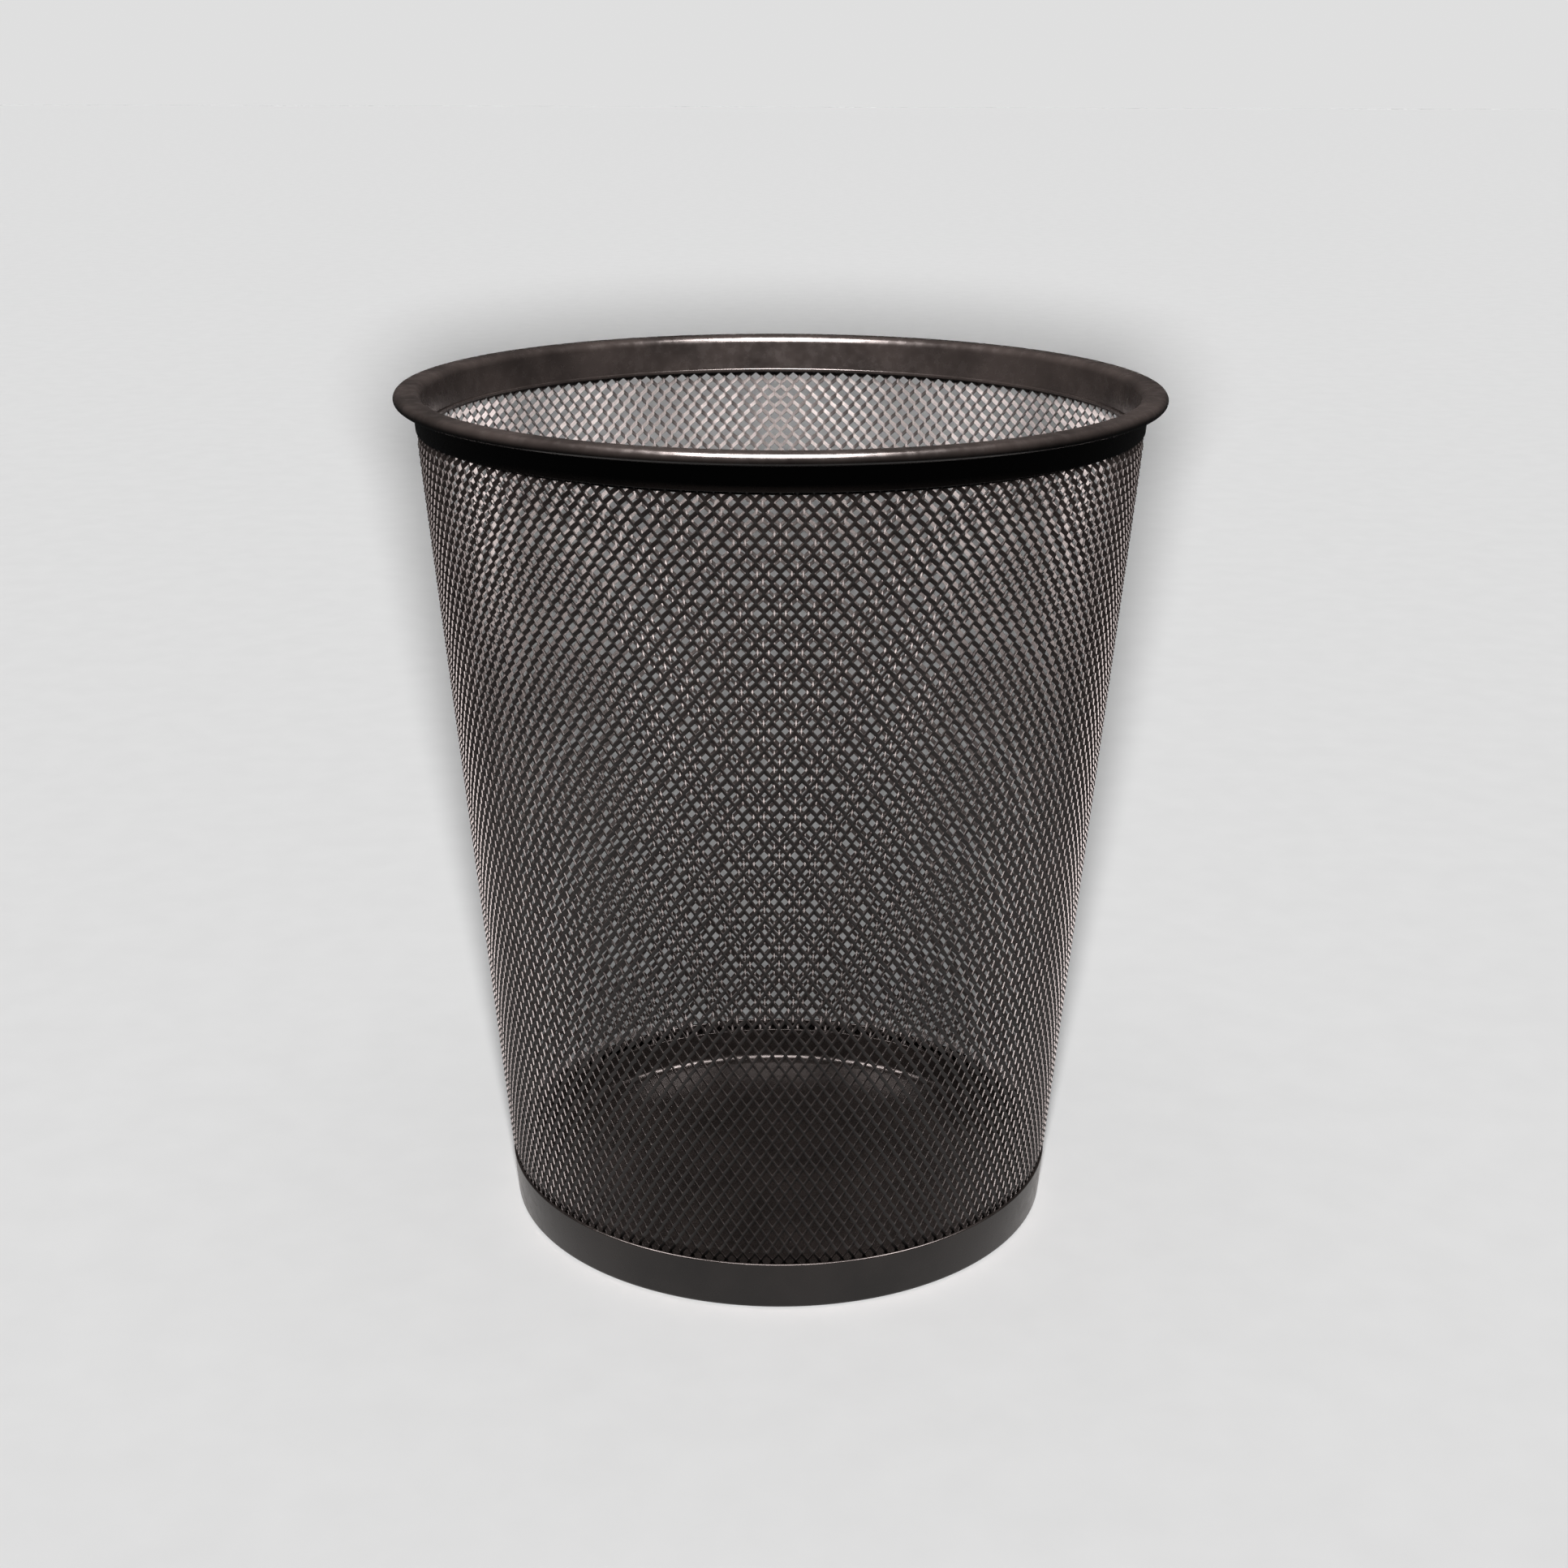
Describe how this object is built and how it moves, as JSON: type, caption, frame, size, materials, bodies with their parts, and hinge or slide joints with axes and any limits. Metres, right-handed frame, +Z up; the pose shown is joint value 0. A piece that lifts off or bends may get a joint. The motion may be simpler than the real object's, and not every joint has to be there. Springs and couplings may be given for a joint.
{
  "type": "round mesh wastebasket",
  "caption": "Round tapered office wastebasket of black powder-coated steel mesh, with a rolled lip and a solid pressed base.",
  "frame": {"origin": "centre of the base, on the floor", "axes": "+Z up along the basket's axis, through the open top; +X to the right and -Y towards the viewer"},
  "size_m": [0.295, 0.295, 0.3385],
  "materials": {
    "powder_coat": "satin",
    "mesh_powder_coat": "satin"
  },
  "bodies": {
    "root": {"rim_ring": "powder_coat", "rim_outer_band": "powder_coat", "mesh_wall": "mesh_powder_coat", "base_band": "powder_coat", "floor_pan": "powder_coat"}
  },
  "joints": []
}
